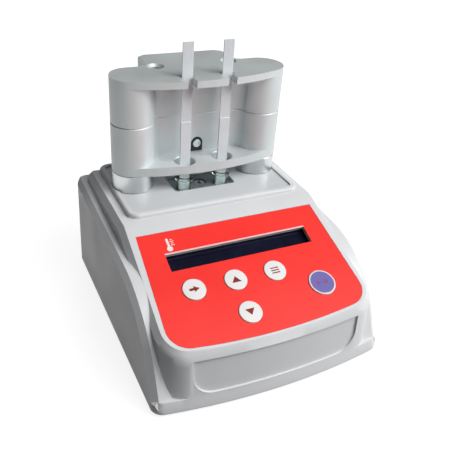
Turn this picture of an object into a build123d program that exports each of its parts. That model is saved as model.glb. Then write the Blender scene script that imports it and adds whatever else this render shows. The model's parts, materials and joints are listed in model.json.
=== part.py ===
from build123d import *
import math
import os

# Small bench incubator: a dry heat block for two microwells, with a holder that keeps
# two dipsticks upright in them.
# Millimetres, +Z up. The origin is on the bench, under the middle of the case, and the
# control panel faces -Y.

# Case
CASE_WIDTH = 102.0
CASE_DEPTH = 117.0
DECK_HEIGHT = 50.5
FOOT_STANDOFF = 2.0
WALL = 2.3
CASE_DRAFT = 0.7
FRONT_BOW_RADIUS = 283.0
FRONT_CORNER_RADIUS = 5.0
REAR_CORNER_RADIUS = 6.0
LIP_TOP = 6.8
LIP_SLANT_DEPTH = 1.2
LIP_SLANT_DROP = 3.4
LEDGE_REAR_HEIGHT = 45.4
LEDGE_SLOPE = 3.3
APRON_FOOT = 52.1
APRON_SLOPE = 65.5
LEDGE_BEND_RADIUS = 42.0
SHOULDER_WIDTH = 2.6
SHOULDER_DROP = 2.4

# Raised console on the case, with the sloping control panel
CONSOLE_FOOT_WIDTH = 97.0
CONSOLE_SETBACK = 0.9
CONSOLE_DRAFT = 3.5
CONSOLE_CORNER_RADIUS = 14.0
CONSOLE_EDGE_INSET = 2.0
CONSOLE_EDGE_DROP = 2.4
PANEL_ANGLE = 21.0
PANEL_TOP_Y = -2.8
PANEL_TOP_HEIGHT = 46.9
DECK_SURROUND_DROP = 1.2
FIELD_HALF_WIDTH = 36.0
FIELD_DEPTH = 0.8
FIELD_TOP = 22.6
FIELD_BOTTOM = 7.6
FIELD_CORNER_RADIUS = 9.0

# Red overlay on the panel; distances run down the slope from its top edge
OVERLAY_TOP_WIDTH = 81.2
OVERLAY_FOOT_WIDTH = 86.4
OVERLAY_LENGTH = 54.0
OVERLAY_BOW_RADIUS = 264.0
OVERLAY_CORNER_RADIUS = 9.0
OVERLAY_THICKNESS = 0.4
OVERLAY_RECESS = 0.5
OVERLAY_GAP = 0.15
WINDOW_WIDTH = 64.6
WINDOW_LENGTH = 8.8
WINDOW_DISTANCE = 14.9

# Keys
KEY_RADIUS = 4.7
START_KEY_RADIUS = 5.8
KEY_PITCH = 17.75
KEY_ROW_DISTANCE = 28.75
KEY_ROW_START_X = -26.2
DOWN_KEY_DISTANCE = 43.7
START_KEY_X = 26.5
START_KEY_DISTANCE = 39.0
KEY_GAP = 0.2
KEY_PROUD = 0.3
KEY_TRAVEL = 0.5
KEY_FLANGE = 1.0
KEY_FLANGE_THICKNESS = 0.8
KEY_STEM_RADIUS = 2.0
KEY_STEM_LENGTH = 1.2

# Switch board under the keys
SWITCH_WIDTH = 6.0
SWITCH_HEIGHT = 3.1
PLUNGER_RADIUS = 1.7
PLUNGER_HEIGHT = 0.35
BOARD_THICKNESS = 1.6
KEYPAD_WIDTH = 68.0
KEYPAD_START = 24.6
KEYPAD_LENGTH = 27.0
KEYPAD_BOSSES = [(-17.3, 27.3), (19.5, 27.3), (-30.5, 48.6), (30.5, 48.6)]

# Display
LCD_FRAME_WIDTH = 72.0
LCD_FRAME_LENGTH = 15.6
LCD_FRAME_DEPTH = 5.0
LCD_LIP = 0.6
LCD_GLASS_THICKNESS = 2.2
LCD_BOARD_WIDTH = 82.0
LCD_BOARD_LENGTH = 18.6
LCD_BOSS_X = 38.7
LCD_BOSS_OFFSET = 6.4

# Deck plate and the raised rim round it
PLATE_WIDTH = 75.0
PLATE_DEPTH = 44.0
PLATE_FRONT = 8.9
PLATE_THICKNESS = 2.5
PLATE_GAP = 0.3
PLATE_CORNER_RADIUS = 2.5
RIM_WIDTH = 2.5
RIM_PROUD = 0.7
RIM_ROUND = 1.2
SHELF_WIDTH = 3.3
SHELF_FRONT = 5.5
SHELF_THICKNESS = 2.5
DECK_SCREW_X = 20.0

# Heat block under the opening of the deck plate
OPENING_WIDTH = 29.2
OPENING_DEPTH = 15.6
OPENING_FRONT = 20.75
OPENING_CORNER_RADIUS = 1.6
BLOCK_GAP = 0.45
BLOCK_DROP = 1.3
BLOCK_HEIGHT = 16.0
WELL_X = 9.0
WELL_Y = 25.1
WELL_DEPTH_IN_BLOCK = 5.5
WELL_FIT = 0.1
HEATER_THICKNESS = 1.0
CARRIER_WALL = 2.0
CARRIER_GAP = 0.3
CARRIER_EAR_X = 20.5
CARRIER_EAR_WIDTH = 9.0
PROBE_RADIUS = 1.5
PROBE_LENGTH = 11.0
PROBE_X = 4.4
PROBE_DROP = 9.0

# Microwells and dipsticks
WELL_RADIUS = 3.3
WELL_FOOT_RADIUS = 3.1
WELL_RIM_RADIUS = 4.1
WELL_RIM_HEIGHT = 1.3
WELL_HEIGHT = 12.0
WELL_SKIN = 0.45
WELL_FLOOR = 0.7
STRIP_WIDTH = 4.7
STRIP_BACKING = 0.5
STRIP_PADS = 0.4
STRIP_HANDLE_TOP = 114.8
STRIP_PAD_TOP = 81.0
STRIP_STAND = 0.05

# Posts and the dipstick holder on them
POST_X = 30.1
POST_Y = 33.1
POST_RADIUS = 9.15
POST_HEIGHT = 8.4
POST_CHAMFER = 0.4
LOBE_RADIUS = 9.2
LOWER_HEIGHT = 21.8
UPPER_HEIGHT = 20.0
RECESS_BACK_Y = 33.4
RECESS_ROUND = 4.0
REAR_BLOCK_WIDTH = 40.6
REAR_BLOCK_WAIST = 39.2
REAR_BLOCK_SHOULDER_Y = 55.0
REAR_BLOCK_BACK_Y = 57.3
REAR_BLOCK_BACK_WIDTH = 34.0
REAR_ROUND = 5.0
LOWER_FLANGE_FRONT = 19.6
LOWER_FLANGE_THICKNESS = 4.0
UPPER_FLANGE_FRONT = 16.6
UPPER_FLANGE_THICKNESS = 3.0
FLANGE_HOLE_RADIUS = 4.6
FLANGE_HOLE_CHAMFER = 0.35
SLOT_WIDTH = 6.8
SLOT_DEPTH = 2.0
SLOT_MOUTH = 3.8
SEAM_CHAMFER = 0.3

# Sensor on the back wall of the holder's recess
SENSOR_WIDTH = 5.4
SENSOR_HEIGHT = 6.6
SENSOR_PROUD = 0.2
SENSOR_DEPTH = 5.2
SENSOR_GAP = 0.1
LENS_RADIUS = 1.9
LENS_THICKNESS = 1.2
LENS_PROUD = 0.3

# Screws
M25 = 1.25
M3 = 1.5
M4 = 2.0
SCREW_FIT = 0.03
SCREW_CLEARANCE = 0.2
HOLDER_SCREW_X = 17.0
HOLDER_SCREW_Y = 41.0
HOLDER_BORE_RADIUS = 2.6
HOLDER_COUNTERSINK = 1.1
HOLDER_BORE_DEPTH = 12.0
PIN_RADIUS = 1.5
PIN_LENGTH = 10.0

# Base plate, feet and main board
BASE_THICKNESS = 2.5
BASE_GAP = 0.3
FOOT_RADIUS = 6.0
FOOT_RECESS = 1.0
FOOT_X = 38.0
FOOT_FRONT_Y = -42.0
FOOT_REAR_Y = 48.0
BASE_SCREW_X = 45.0
BASE_SCREW_FRONT_Y = -29.0
BASE_SCREW_REAR_Y = 38.0
BOSS_RADIUS = 3.5
VENT_LENGTH = 22.0
VENT_WIDTH = 1.8
VENT_PITCH = 4.2
VENT_COUNT = 6
MAIN_BOARD_WIDTH = 76.0
MAIN_BOARD_DEPTH = 72.0
MAIN_BOARD_Y = 8.0
BOARD_STANDOFF = 5.0
BOARD_HOLE_INSET = 4.0

# Rear bay with the power inlet and the power switch
BAY_WIDTH = 70.0
BAY_HEIGHT = 17.0
BAY_BOTTOM = 13.0
BAY_DEPTH = 3.5
BAY_ROUND = 2.0
SWITCH_X = -20.0
INLET_X = 22.0
SWITCH_BEZEL = (15.0, 10.5)
SWITCH_BODY = (12.8, 8.3)
SWITCH_BEZEL_THICKNESS = 1.6
SWITCH_BODY_DEPTH = 9.0
ROCKER_RADIUS = 5.2
ROCKER_HEIGHT = 6.4
ROCKER_GAP = 0.2
ROCKER_TILT = 7.0
ROCKER_PIVOT_DEPTH = 1.6
ROCKER_PIN_RADIUS = 0.8
ROCKER_PIN_LENGTH = 0.6
INLET_FLANGE_RADIUS = 5.5
INLET_FLANGE_THICKNESS = 1.5
INLET_BARREL_RADIUS = 4.0
INLET_LENGTH = 13.0
INLET_BORE_RADIUS = 2.85
INLET_PIN_RADIUS = 1.05
INLET_NUT_WIDTH = 11.0
INLET_NUT_THICKNESS = 2.0

# Sizes that follow from the ones above
FRONT_Y = -CASE_DEPTH / 2
REAR_Y = CASE_DEPTH / 2
CASE_FLOOR = FOOT_STANDOFF
PLATE_REAR = PLATE_FRONT + PLATE_DEPTH
PLATE_UNDER = DECK_HEIGHT - PLATE_THICKNESS
SURROUND_HEIGHT = DECK_HEIGHT - DECK_SURROUND_DROP
BLOCK_TOP = DECK_HEIGHT - BLOCK_DROP
BLOCK_FLOOR = BLOCK_TOP - BLOCK_HEIGHT
CARRIER_FLOOR = BLOCK_FLOOR - HEATER_THICKNESS
OPENING_Y = OPENING_FRONT + OPENING_DEPTH / 2
WELL_BOTTOM = BLOCK_TOP - WELL_DEPTH_IN_BLOCK
WELL_TOP = WELL_BOTTOM + WELL_HEIGHT
HOLDER_FLOOR = DECK_HEIGHT + POST_HEIGHT
SEAM_HEIGHT = HOLDER_FLOOR + LOWER_HEIGHT
HOLDER_TOP = SEAM_HEIGHT + UPPER_HEIGHT
FLANGE_TOP = HOLDER_FLOOR + LOWER_FLANGE_THICKNESS
BASE_TOP = CASE_FLOOR + BASE_THICKNESS
KEY_FLANGE_TOP = -(WALL + 0.3)
KEY_FOOT = KEY_FLANGE_TOP - KEY_FLANGE_THICKNESS - KEY_STEM_LENGTH
PLUNGER_TOP = KEY_FOOT - KEY_TRAVEL - 0.05
SWITCH_TOP = PLUNGER_TOP - PLUNGER_HEIGHT
KEYPAD_TOP = SWITCH_TOP - SWITCH_HEIGHT
LCD_TOP = -(WALL + 0.3)
LCD_BOARD_TOP = LCD_TOP - LCD_FRAME_DEPTH
BAY_FLOOR_Y = REAR_Y - BAY_DEPTH
BAY_MIDDLE = BAY_BOTTOM + BAY_HEIGHT / 2
PANEL = Plane(
    origin=(0, PANEL_TOP_Y, PANEL_TOP_HEIGHT),
    x_dir=(1, 0, 0),
    z_dir=(0, -math.sin(math.radians(PANEL_ANGLE)), math.cos(math.radians(PANEL_ANGLE))),
)
KEYS = {
    "key_right": (KEY_ROW_START_X, KEY_ROW_DISTANCE, KEY_RADIUS),
    "key_up": (KEY_ROW_START_X + KEY_PITCH, KEY_ROW_DISTANCE, KEY_RADIUS),
    "key_menu": (KEY_ROW_START_X + 2 * KEY_PITCH, KEY_ROW_DISTANCE, KEY_RADIUS),
    "key_down": (KEY_ROW_START_X + KEY_PITCH, DOWN_KEY_DISTANCE, KEY_RADIUS),
    "key_start": (START_KEY_X, START_KEY_DISTANCE, START_KEY_RADIUS),
}


def block(x, y, z):
    """A box given by its (low, high) pair along each axis."""
    centre = [(pair[0] + pair[1]) / 2 for pair in (x, y, z)]
    return Pos(*centre) * Box(x[1] - x[0], y[1] - y[0], z[1] - z[0])


def upright(radius, x, y, low, high):
    """A vertical cylinder from one height to another."""
    return Pos(x, y, (low + high) / 2) * Cylinder(radius, high - low)


def on_panel(shape):
    """Places a shape drawn in the panel's own frame: X across, -Y down the slope, Z out of it."""
    return PANEL.location * shape


def four_corners(x, y_front, y_rear):
    return [(sx * x, y) for sx in (-1, 1) for y in (y_front, y_rear)]


def bow(radius, half_width):
    """How far the middle of a bowed edge stands ahead of its ends."""
    return radius - math.sqrt(radius ** 2 - half_width ** 2)


def bowed_outline(half_width, front, rear, bow_radius, front_round, rear_round):
    """Plan of a box whose front edge is a long arc."""
    side = front + bow(bow_radius, half_width)
    front_edge = ThreePointArc((-half_width, side), (0, front), (half_width, side))
    rest = Polyline((half_width, side), (half_width, rear), (-half_width, rear), (-half_width, side))
    outline = make_face(front_edge + rest)
    outline = fillet(outline.vertices().group_by(Axis.Y)[0], front_round)
    return fillet(outline.vertices().group_by(Axis.Y)[-1], rear_round)


def rounded_plan(width, depth, front, corner_round):
    """Rectangle with round corners, given by its front edge."""
    return Pos(0, front + depth / 2) * RectangleRounded(width, depth, corner_round)


def case_section(inset):
    """Side view of the space above the ledge that runs round the console.

    inset moves the ledge and the apron below it inwards, towards the inside of the case.
    """
    slope = math.tan(math.radians(LEDGE_SLOPE))
    steep = math.tan(math.radians(APRON_SLOPE))
    rear_height = LEDGE_REAR_HEIGHT - inset / math.cos(math.radians(LEDGE_SLOPE))
    lip = max(LIP_TOP - inset, BASE_TOP)
    foot_y = -APRON_FOOT + inset / math.sin(math.radians(APRON_SLOPE)) - (LIP_TOP - lip) / steep
    knee_y = (rear_height - slope * REAR_Y - lip + steep * foot_y) / (steep - slope)
    knee = (knee_y, lip + steep * (knee_y - foot_y))
    back_y = REAR_Y + 5
    front_y = FRONT_Y - 5
    line = FilletPolyline(
        (back_y, rear_height + slope * (back_y - REAR_Y)),
        knee,
        (foot_y, lip),
        radius=LEDGE_BEND_RADIUS - inset,
    )
    closing = Polyline(
        (foot_y, lip),
        (front_y, lip),
        (front_y, 2 * DECK_HEIGHT),
        (back_y, 2 * DECK_HEIGHT),
        (back_y, rear_height + slope * (back_y - REAR_Y)),
    )
    return make_face(line + closing)


def slant_lip(body):
    """Slants the outer edge of the lip that runs round the foot of the front."""
    lip_face = body.faces().filter_by(Axis.Z).filter_by(lambda face: abs(face.center().Z - LIP_TOP) < 0.01)[0]
    outer_edges = [edge for edge in lip_face.edges() if not is_crease(edge) and edge.center().Y < -APRON_FOOT]
    return chamfer(outer_edges, LIP_SLANT_DEPTH, LIP_SLANT_DROP, reference=lip_face)


def case_body(inset=0.0):
    """The lower body of the case with its sloped shoulders, solid; inset gives its inside."""
    outline = bowed_outline(
        CASE_WIDTH / 2 - inset,
        FRONT_Y + inset,
        REAR_Y - inset,
        FRONT_BOW_RADIUS - inset,
        FRONT_CORNER_RADIUS - inset,
        REAR_CORNER_RADIUS - inset,
    )
    body = extrude(Pos(0, 0, CASE_FLOOR) * outline, DECK_HEIGHT, taper=CASE_DRAFT)
    body -= extrude(Plane.YZ * case_section(inset), CASE_WIDTH, both=True)
    if inset == 0:
        body = slant_lip(body)
    crest = CASE_WIDTH / 2 - SHOULDER_WIDTH - inset / 2
    reach = 2 * SHOULDER_WIDTH
    for side in (-1, 1):
        crest_face = Plane.YZ.offset(side * crest) * case_section(inset)
        outer_face = Plane.YZ.offset(side * (crest + reach)) * case_section(inset + 2 * SHOULDER_DROP)
        body -= loft([crest_face, outer_face], ruled=True)
    return body


def console_section(panel_inset, deck_height):
    """Side view of the space above the panel and the deck."""
    slope = math.tan(math.radians(PANEL_ANGLE))
    lowered = PANEL_TOP_HEIGHT - panel_inset / math.cos(math.radians(PANEL_ANGLE))
    bend_y = PANEL_TOP_Y + (deck_height - lowered) / slope
    front_y = FRONT_Y - 5
    back_y = REAR_Y + 5
    points = [
        (front_y, lowered + slope * (front_y - PANEL_TOP_Y)),
        (bend_y, deck_height),
        (back_y, deck_height),
        (back_y, 2 * DECK_HEIGHT),
        (front_y, 2 * DECK_HEIGHT),
    ]
    return make_face(Polyline(*points, close=True))


def console_prism(inset):
    outline = bowed_outline(
        CONSOLE_FOOT_WIDTH / 2 - inset,
        FRONT_Y + CONSOLE_SETBACK + inset,
        REAR_Y - inset,
        FRONT_BOW_RADIUS - inset,
        CONSOLE_CORNER_RADIUS - inset,
        REAR_CORNER_RADIUS - inset,
    )
    return extrude(Pos(0, 0, CASE_FLOOR) * outline, DECK_HEIGHT, taper=CONSOLE_DRAFT)


def console():
    """The raised console, solid, with its sloped top edge and the scooped field at its front."""
    body = console_prism(0)
    body -= extrude(Plane.YZ * console_section(0, SURROUND_HEIGHT), CASE_WIDTH, both=True)
    top_edges = [
        edge
        for edge in body.edges()
        if edge.center().Z > LIP_TOP + 15 and abs(edge.tangent_at(0.5).Z) < 0.5 and not is_crease(edge)
    ]
    body = chamfer(top_edges, CONSOLE_EDGE_DROP, CONSOLE_EDGE_INSET)
    field = Rectangle(2 * FIELD_HALF_WIDTH, FIELD_TOP - FIELD_BOTTOM)
    field = Pos(0, (FIELD_TOP + FIELD_BOTTOM) / 2) * field
    field = fillet(field.vertices().group_by(Axis.Y)[0], FIELD_CORNER_RADIUS)
    scoop = extrude(Plane.XZ * field, CASE_DEPTH) - console_prism(FIELD_DEPTH)
    return body - scoop


def is_crease(edge):
    """True for a straight fold that runs right across the case, ahead of its rear edge."""
    return edge.geom_type == GeomType.LINE and abs(edge.tangent_at(0.5).X) > 0.99 and edge.center().Y < REAR_Y - 1


def console_inside():
    body = console_prism(WALL)
    section = console_section(WALL, PLATE_UNDER - SHELF_THICKNESS)
    return body - extrude(Plane.YZ * section, CASE_WIDTH, both=True)


def deck_rim():
    """Raised rim round the deck plate, rounded on its outer edge."""
    width = PLATE_WIDTH + 2 * (PLATE_GAP + RIM_WIDTH)
    depth = PLATE_DEPTH + 2 * (PLATE_GAP + RIM_WIDTH)
    front = PLATE_FRONT - PLATE_GAP - RIM_WIDTH
    plan = rounded_plan(width, depth, front, PLATE_CORNER_RADIUS + RIM_WIDTH)
    foot = PLATE_UNDER
    rim = extrude(Pos(0, 0, foot) * plan, DECK_HEIGHT + RIM_PROUD - foot)
    return fillet(rim.faces().sort_by(Axis.Z)[-1].edges(), RIM_ROUND)


def overlay_outline(gap=0.0):
    """Outline of the overlay in the panel's frame; gap widens it all round."""
    top = OVERLAY_TOP_WIDTH / 2 + gap
    foot = OVERLAY_FOOT_WIDTH / 2 + gap
    length = OVERLAY_LENGTH + gap
    side = length - bow(OVERLAY_BOW_RADIUS, foot)
    lower = ThreePointArc((-foot, -side), (0, -length), (foot, -side))
    rest = Polyline((foot, -side), (top, gap), (-top, gap), (-foot, -side))
    outline = make_face(lower + rest)
    return fillet(outline.vertices().group_by(Axis.Y)[0], OVERLAY_CORNER_RADIUS)


def panel_disc(x, distance, radius, low, high):
    """A disc in the panel's frame, between two heights above its surface."""
    return on_panel(upright(radius, x, -distance, low, high))


def panel_block(width, start, length, low, high, x=0.0):
    """A box in the panel's frame, starting a distance down the slope."""
    return on_panel(block((x - width / 2, x + width / 2), (-start - length, -start), (low, high)))


def panel_cuts():
    """Overlay recess, display window and key holes."""
    cuts = on_panel(Pos(0, 0, -OVERLAY_RECESS) * extrude(overlay_outline(OVERLAY_GAP), 5))
    window = panel_block(WINDOW_WIDTH, WINDOW_DISTANCE - WINDOW_LENGTH / 2, WINDOW_LENGTH, -2 * WALL, 5)
    cuts += window
    for x, distance, radius in KEYS.values():
        cuts += panel_disc(x, distance, radius + KEY_GAP, -2 * WALL, 5)
    return cuts


def lcd_boss_places():
    return [(sx * LCD_BOSS_X, WINDOW_DISTANCE + sy * LCD_BOSS_OFFSET) for sx in (-1, 1) for sy in (-1, 1)]


def panel_bosses():
    """Pillars under the panel that carry the display board and the switch board."""
    bosses = Part()
    for x, distance in lcd_boss_places():
        bosses += panel_disc(x, distance, 2.3, LCD_BOARD_TOP, -WALL + 0.5)
    for x, distance in KEYPAD_BOSSES:
        bosses += panel_disc(x, distance, 2.3, KEYPAD_TOP, -WALL + 0.5)
    return bosses


def panel_boss_bores():
    bores = Part()
    for x, distance in lcd_boss_places():
        bores += panel_disc(x, distance, M25 + SCREW_FIT, LCD_BOARD_TOP - 1, -WALL - 0.5)
    for x, distance in KEYPAD_BOSSES:
        bores += panel_disc(x, distance, M25 + SCREW_FIT, KEYPAD_TOP - 1, -WALL - 0.5)
    return bores


def base_screw_places():
    return four_corners(BASE_SCREW_X, BASE_SCREW_FRONT_Y, BASE_SCREW_REAR_Y)


def rear_wall_cut(width, height, x, middle, depth_from, depth_to, corner_round):
    """A rounded rectangle cut along Y at the rear wall, between two Y places."""
    plan = Pos(x, middle) * RectangleRounded(width, height, corner_round)
    cut = extrude(Plane.XZ * plan, -(depth_to - depth_from))
    return Pos(0, depth_from, 0) * cut


def rear_disc(radius, x, y_from, y_to):
    """A round bar along Y at the height of the rear bay's middle."""
    bar = Rot(90, 0, 0) * Cylinder(radius, y_to - y_from)
    return Pos(x, (y_from + y_to) / 2, BAY_MIDDLE) * bar


def housing():
    """Moulded hood: body, console and rim as one shell, open at the bottom."""
    outer = case_body() + console()
    shell = outer - case_body(WALL) - console_inside()
    inner_parts = panel_bosses()
    for x, y in base_screw_places():
        inner_parts += upright(BOSS_RADIUS, x, y, BASE_TOP, DECK_HEIGHT)
    bay_shell = block(
        (-BAY_WIDTH / 2 - WALL, BAY_WIDTH / 2 + WALL),
        (BAY_FLOOR_Y - WALL, REAR_Y + 1),
        (BAY_BOTTOM - WALL, BAY_BOTTOM + BAY_HEIGHT + WALL),
    )
    shell += (inner_parts + bay_shell) & outer
    shell += deck_rim()
    pocket = rounded_plan(
        PLATE_WIDTH + 2 * PLATE_GAP,
        PLATE_DEPTH + 2 * PLATE_GAP,
        PLATE_FRONT - PLATE_GAP,
        PLATE_CORNER_RADIUS,
    )
    shell -= extrude(Pos(0, 0, PLATE_UNDER) * pocket, 10)
    well = rounded_plan(
        PLATE_WIDTH - 2 * SHELF_WIDTH,
        PLATE_DEPTH - 2 * SHELF_FRONT,
        PLATE_FRONT + SHELF_FRONT,
        PLATE_CORNER_RADIUS,
    )
    shell -= extrude(Pos(0, 0, PLATE_UNDER - 2 * SHELF_THICKNESS) * well, 10)
    shell -= panel_cuts()
    shell -= panel_boss_bores()
    shell -= rear_wall_cut(BAY_WIDTH, BAY_HEIGHT, 0, BAY_MIDDLE, BAY_FLOOR_Y, REAR_Y + 1, BAY_ROUND)
    shell -= rear_wall_cut(
        SWITCH_BODY[0] + 0.2,
        SWITCH_BODY[1] + 0.2,
        SWITCH_X,
        BAY_MIDDLE,
        BAY_FLOOR_Y - 2 * WALL,
        REAR_Y,
        0.4,
    )
    shell -= rear_disc(INLET_BARREL_RADIUS + 0.1, INLET_X, BAY_FLOOR_Y - 2 * WALL, REAR_Y)
    for side in (-1, 1):
        shell -= upright(POST_RADIUS + PLATE_GAP, side * POST_X, POST_Y, DECK_HEIGHT - PLATE_GAP, DECK_HEIGHT + 5)
    for x, y in base_screw_places():
        shell -= upright(M3 + SCREW_FIT, x, y, BASE_TOP - 1, BASE_TOP + 9)
    for x, y in deck_screw_places():
        shell -= upright(M25 + SCREW_CLEARANCE, x, y, PLATE_UNDER - 2 * SHELF_THICKNESS, PLATE_UNDER + 1)
    return shell


def deck_screw_places():
    return four_corners(DECK_SCREW_X, PLATE_FRONT + SHELF_FRONT / 2, PLATE_REAR - SHELF_FRONT / 2)


def base_plate():
    """Flat floor of the case with vents, foot recesses and board pillars."""
    inset = WALL + BASE_GAP
    outline = bowed_outline(
        CASE_WIDTH / 2 - inset,
        FRONT_Y + inset,
        REAR_Y - inset,
        FRONT_BOW_RADIUS - inset,
        FRONT_CORNER_RADIUS - inset,
        REAR_CORNER_RADIUS - inset,
    )
    plate = extrude(Pos(0, 0, CASE_FLOOR) * outline, BASE_THICKNESS)
    for x, y in board_hole_places():
        plate += upright(3, x, y, CASE_FLOOR, BASE_TOP + BOARD_STANDOFF)
        plate -= upright(M3 + SCREW_FIT, x, y, BASE_TOP, BASE_TOP + BOARD_STANDOFF + 1)
    for x, y in four_corners(FOOT_X, FOOT_FRONT_Y, FOOT_REAR_Y):
        plate -= upright(FOOT_RADIUS + 0.1, x, y, CASE_FLOOR - 1, CASE_FLOOR + FOOT_RECESS)
    for x, y in base_screw_places():
        plate -= upright(M3 + SCREW_CLEARANCE, x, y, CASE_FLOOR - 1, BASE_TOP + 1)
        plate -= Pos(x, y, CASE_FLOOR + 0.75) * Cone(2 * M3 + 0.1, M3 + 0.1, 1.5)
    for side in (-1, 1):
        for step in range(VENT_COUNT):
            y = -14 + step * VENT_PITCH
            slot = Pos(side * 20, y, CASE_FLOOR) * SlotOverall(VENT_LENGTH, VENT_WIDTH)
            plate -= extrude(slot, 4 * BASE_THICKNESS, both=True)
    return plate


def board_hole_places():
    x = MAIN_BOARD_WIDTH / 2 - BOARD_HOLE_INSET
    front = MAIN_BOARD_Y - MAIN_BOARD_DEPTH / 2 + BOARD_HOLE_INSET
    rear = MAIN_BOARD_Y + MAIN_BOARD_DEPTH / 2 - BOARD_HOLE_INSET
    return four_corners(x, front, rear)


def rubber_feet():
    feet = Part()
    for x, y in four_corners(FOOT_X, FOOT_FRONT_Y, FOOT_REAR_Y):
        foot = upright(FOOT_RADIUS, x, y, 0, CASE_FLOOR + FOOT_RECESS)
        feet += chamfer(foot.edges().group_by(Axis.Z)[0], 0.5)
    return feet


def countersunk_screw(radius, x, y, low, length):
    """Screw that points up, with its flat head at the bottom."""
    head = Pos(x, y, low + 0.75) * Cone(2 * radius, radius, 1.5)
    return head + upright(radius, x, y, low, low + length)


def pan_screw(radius, x, y, seat, length, points_up=True):
    """Screw with a round head that seats at the given height."""
    way = 1 if points_up else -1
    head_ends = sorted((seat - way * 1.3 * radius, seat))
    shank_ends = sorted((seat, seat + way * length))
    return upright(1.8 * radius, x, y, *head_ends) + upright(radius, x, y, *shank_ends)


def base_screws():
    screws = Part()
    for x, y in base_screw_places():
        screws += countersunk_screw(M3, x, y, CASE_FLOOR, BASE_THICKNESS + 8)
    return screws


def board_screws():
    screws = Part()
    seat = BASE_TOP + BOARD_STANDOFF + BOARD_THICKNESS
    for x, y in board_hole_places():
        screws += pan_screw(M3, x, y, seat, BOARD_THICKNESS + BOARD_STANDOFF - 1, points_up=False)
    return screws


def control_board():
    """Main circuit board with its larger parts soldered on."""
    low = BASE_TOP + BOARD_STANDOFF
    top = low + BOARD_THICKNESS
    plan = Pos(0, MAIN_BOARD_Y) * RectangleRounded(MAIN_BOARD_WIDTH, MAIN_BOARD_DEPTH, 2)
    board = extrude(Pos(0, 0, low) * plan, BOARD_THICKNESS)
    board += block((-6, 6), (-4, 8), (top, top + 1.6))
    board += block((-30, -14), (20, 32), (top, top + 9))
    board += upright(5, 4, 30, top, top + 12)
    board += upright(4, 16, 30, top, top + 10)
    board += block((-24, -4), (-25, -20), (top, top + 6))
    board += block((6, 26), (-25, -20), (top, top + 6))
    for x, y in board_hole_places():
        board -= upright(M3 + SCREW_CLEARANCE, x, y, low - 1, top + 1)
    return board


def control_overlay():
    """Printed film on the panel, with the window and the key holes cut out."""
    film = extrude(Pos(0, 0, -OVERLAY_RECESS) * overlay_outline(), OVERLAY_THICKNESS)
    film -= Pos(0, -WINDOW_DISTANCE, 0) * Box(WINDOW_WIDTH - 0.6, WINDOW_LENGTH - 0.6, 5)
    for x, distance, radius in KEYS.values():
        film -= upright(radius + KEY_GAP, x, -distance, -5, 5)
    return on_panel(film)


def key(x, distance, radius):
    """Key cap with a flange that keeps it in, and a stem over its switch."""
    cap = upright(radius, x, -distance, KEY_FLANGE_TOP, KEY_PROUD)
    cap = fillet(cap.edges().group_by(Axis.Z)[-1], 0.25)
    flange_low = KEY_FLANGE_TOP - KEY_FLANGE_THICKNESS
    cap += upright(radius + KEY_FLANGE, x, -distance, flange_low, KEY_FLANGE_TOP)
    cap += upright(KEY_STEM_RADIUS, x, -distance, KEY_FOOT, flange_low)
    return on_panel(cap)


def key_switches():
    """Push switches on the board, one under each key."""
    switches = Part()
    for x, distance, _ in KEYS.values():
        half = SWITCH_WIDTH / 2
        body = block((x - half, x + half), (-distance - half, -distance + half), (KEYPAD_TOP, SWITCH_TOP))
        body += upright(PLUNGER_RADIUS, x, -distance, SWITCH_TOP, PLUNGER_TOP)
        switches += body
    return on_panel(switches)


def drilled_board(width, start, length, top, holes):
    """A flat board in the panel's frame, with screw holes."""
    board = panel_block(width, start, length, top - BOARD_THICKNESS, top)
    for x, distance in holes:
        board -= panel_disc(x, distance, M25 + SCREW_CLEARANCE, top - 2 * BOARD_THICKNESS, top + 1)
    return board


def keypad_board():
    return drilled_board(KEYPAD_WIDTH, KEYPAD_START, KEYPAD_LENGTH, KEYPAD_TOP, KEYPAD_BOSSES)


def lcd_board():
    start = WINDOW_DISTANCE - LCD_BOARD_LENGTH / 2
    return drilled_board(LCD_BOARD_WIDTH, start, LCD_BOARD_LENGTH, LCD_BOARD_TOP, lcd_boss_places())


def panel_screws(places, board_top, length):
    """Screws that hold a board up against its pillars."""
    screws = Part()
    for x, distance in places:
        screws += pan_screw(M25, x, -distance, board_top - BOARD_THICKNESS, length)
    return on_panel(screws)


def lcd_frame():
    """Metal frame of the display, open at the front and the back."""
    start = WINDOW_DISTANCE - LCD_FRAME_LENGTH / 2
    frame = panel_block(LCD_FRAME_WIDTH, start, LCD_FRAME_LENGTH, LCD_BOARD_TOP, LCD_TOP)
    inner_width = LCD_FRAME_WIDTH - 2 * LCD_LIP
    inner_length = LCD_FRAME_LENGTH - 2 * LCD_LIP
    frame -= panel_block(inner_width, start + LCD_LIP, inner_length, LCD_BOARD_TOP - 1, LCD_TOP - LCD_LIP)
    view_start = WINDOW_DISTANCE - WINDOW_LENGTH / 2 - 0.4
    frame -= panel_block(WINDOW_WIDTH + 1.6, view_start, WINDOW_LENGTH + 0.8, -20, 5)
    return frame


def lcd_pane(top, thickness):
    """A pane that fills the display frame, less a small gap."""
    width = LCD_FRAME_WIDTH - 2 * LCD_LIP - 0.2
    length = LCD_FRAME_LENGTH - 2 * LCD_LIP - 0.2
    return panel_block(width, WINDOW_DISTANCE - length / 2, length, top - thickness, top)


def lcd_glass():
    return lcd_pane(LCD_TOP - LCD_LIP, LCD_GLASS_THICKNESS)


def lcd_backlight():
    top = LCD_TOP - LCD_LIP - LCD_GLASS_THICKNESS
    return lcd_pane(top, top - LCD_BOARD_TOP)


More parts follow.
